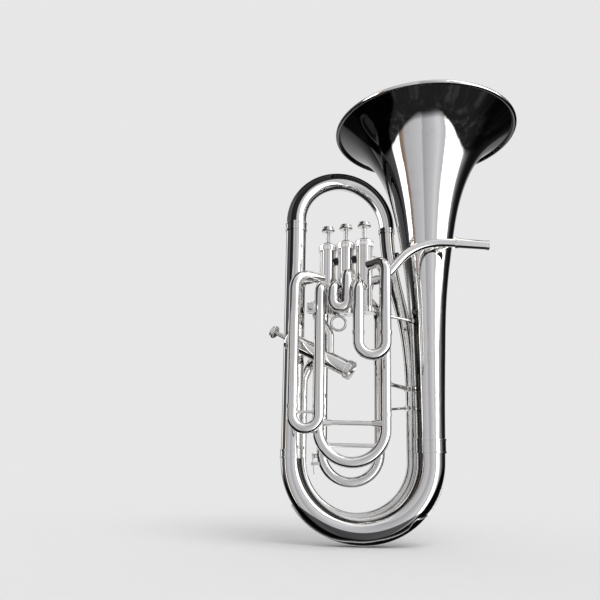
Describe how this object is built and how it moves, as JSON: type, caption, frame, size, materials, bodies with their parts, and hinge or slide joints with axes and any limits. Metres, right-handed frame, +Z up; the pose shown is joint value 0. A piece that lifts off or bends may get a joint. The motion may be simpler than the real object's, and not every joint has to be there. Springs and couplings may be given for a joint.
{
  "type": "euphonium",
  "caption": "Upright conical-bore brass instrument with a flared bell, side-set piston valves with one on a slant, pull slides, curved leadpipe and mouthpiece receiver.",
  "frame": {"origin": "middle of the underside of the whole instrument's box; the bell's axis is vertical and stands 51.59 mm along +X from it", "axes": "+Z up along the bell, +X towards the player's mouthpiece, -Y towards the side with the valve slides"},
  "size_m": [0.4032, 0.3, 0.681],
  "materials": {
    "silver_plate": "mirror-polished silver plate",
    "nickel_silver": "drawn and lapped nickel silver",
    "piston_metal": "lapped satin nickel alloy",
    "spring_steel": "spring wire",
    "brass": "drawn wire",
    "felt": "pressed wool felt",
    "cork": "natural cork"
  },
  "bodies": {
    "root": {"bell": "silver_plate", "bell_ferrule": "silver_plate", "bell_rim_wire": "brass", "bottom_bow": "silver_plate", "bow_guard": "silver_plate", "branch_ferrules": "silver_plate", "compensating_loops": "silver_plate", "descending_branch": "silver_plate", "first_slide_outer_tubes": "silver_plate", "fourth_slide_outer_tubes": "silver_plate", "inner_bow": "silver_plate", "leadpipe": "silver_plate", "leadpipe_brace": "silver_plate", "left_branch": "silver_plate", "lyre_holder": "silver_plate", "main_slide_outer_tubes": "silver_plate", "mouthpiece_receiver": "silver_plate", "second_slide_outer_tubes": "silver_plate", "third_slide_outer_tubes": "silver_plate", "third_to_fourth_tube": "silver_plate", "thumb_ring": "silver_plate", "top_bow": "silver_plate", "tube_stays": "silver_plate", "valve_bottom_caps": "silver_plate", "valve_casing_1": "silver_plate", "valve_casing_2": "silver_plate", "valve_casing_3": "silver_plate", "valve_casing_4": "silver_plate", "valve_felts": "felt", "valve_knuckles": "silver_plate", "valve_spring_1": "spring_steel", "valve_spring_2": "spring_steel", "valve_spring_3": "spring_steel", "valve_spring_4": "spring_steel", "valve_top_caps": "silver_plate"},
    "valve_1": {"piston_1": "piston_metal", "finger_button_1": "silver_plate"},
    "valve_2": {"piston_2": "piston_metal", "finger_button_2": "silver_plate"},
    "valve_3": {"piston_3": "piston_metal", "finger_button_3": "silver_plate"},
    "valve_4": {"piston_4": "piston_metal", "finger_button_4": "silver_plate"},
    "main_tuning_slide": {"main_slide_crook": "silver_plate", "main_slide_inner_tubes": "nickel_silver", "main_slide_braces": "silver_plate"},
    "first_slide": {"first_slide_crook": "silver_plate", "first_slide_inner_tubes": "nickel_silver"},
    "second_slide": {"second_slide_crook": "silver_plate", "second_slide_inner_tubes": "nickel_silver"},
    "third_slide": {"third_slide_crook": "silver_plate", "third_slide_inner_tubes": "nickel_silver", "third_slide_brace": "silver_plate"},
    "fourth_slide": {"fourth_slide_crook": "silver_plate", "fourth_slide_inner_tubes": "nickel_silver", "water_key_saddle": "silver_plate", "water_key_pin": "spring_steel"},
    "water_key": {"water_key_lever": "silver_plate", "water_key_cork": "cork"},
    "lyre_clamp_screw": {"lyre_screw": "silver_plate"}
  },
  "joints": [
    {"name": "valve_1_press", "type": "slide", "parent": "root", "child": "valve_1", "axis": [0, 0, -1], "range_m": [0, 0.0175], "stiffness_N_per_m": 180, "springref_m": -0.008, "deforming": ["valve_spring_1"]},
    {"name": "valve_2_press", "type": "slide", "parent": "root", "child": "valve_2", "axis": [0, 0, -1], "range_m": [0, 0.0175], "stiffness_N_per_m": 180, "springref_m": -0.008, "deforming": ["valve_spring_2"]},
    {"name": "valve_3_press", "type": "slide", "parent": "root", "child": "valve_3", "axis": [0, 0, -1], "range_m": [0, 0.0175], "stiffness_N_per_m": 180, "springref_m": -0.008, "deforming": ["valve_spring_3"]},
    {"name": "valve_4_press", "type": "slide", "parent": "root", "child": "valve_4", "axis": [0.8398, -0.2769, -0.467], "range_m": [0, 0.0175], "stiffness_N_per_m": 180, "springref_m": -0.008, "deforming": ["valve_spring_4"]},
    {"name": "main_tuning_slide_pull", "type": "slide", "parent": "root", "child": "main_tuning_slide", "axis": [0, 0, -1], "range_m": [0, 0.05], "stiffness_N_per_m": 20, "springref_m": -0.15},
    {"name": "first_slide_pull", "type": "slide", "parent": "root", "child": "first_slide", "axis": [0, 0, -1], "range_m": [0, 0.04], "stiffness_N_per_m": 20, "springref_m": -0.15},
    {"name": "second_slide_pull", "type": "slide", "parent": "root", "child": "second_slide", "axis": [0, 0, -1], "range_m": [0, 0.006], "stiffness_N_per_m": 20, "springref_m": -0.15},
    {"name": "third_slide_pull", "type": "slide", "parent": "root", "child": "third_slide", "axis": [0, 0, -1], "range_m": [0, 0.07], "stiffness_N_per_m": 20, "springref_m": -0.15},
    {"name": "fourth_slide_pull", "type": "slide", "parent": "root", "child": "fourth_slide", "axis": [0, 0, -1], "range_m": [0, 0.02], "stiffness_N_per_m": 20, "springref_m": -0.15},
    {"name": "water_key_swing", "type": "hinge", "parent": "fourth_slide", "child": "water_key", "pos_m": [-0.12961, 0.025, 0.12161], "axis": [0, -1, 0], "range_deg": [0, 12], "stiffness_Nm_per_rad": 0.02, "springref_deg": -5.73},
    {"name": "lyre_screw_turn", "type": "hinge", "parent": "root", "child": "lyre_clamp_screw", "pos_m": [-0.13761, -0.0702, 0.352], "axis": [0, -1, 0], "range_deg": [0, 360]}
  ]
}
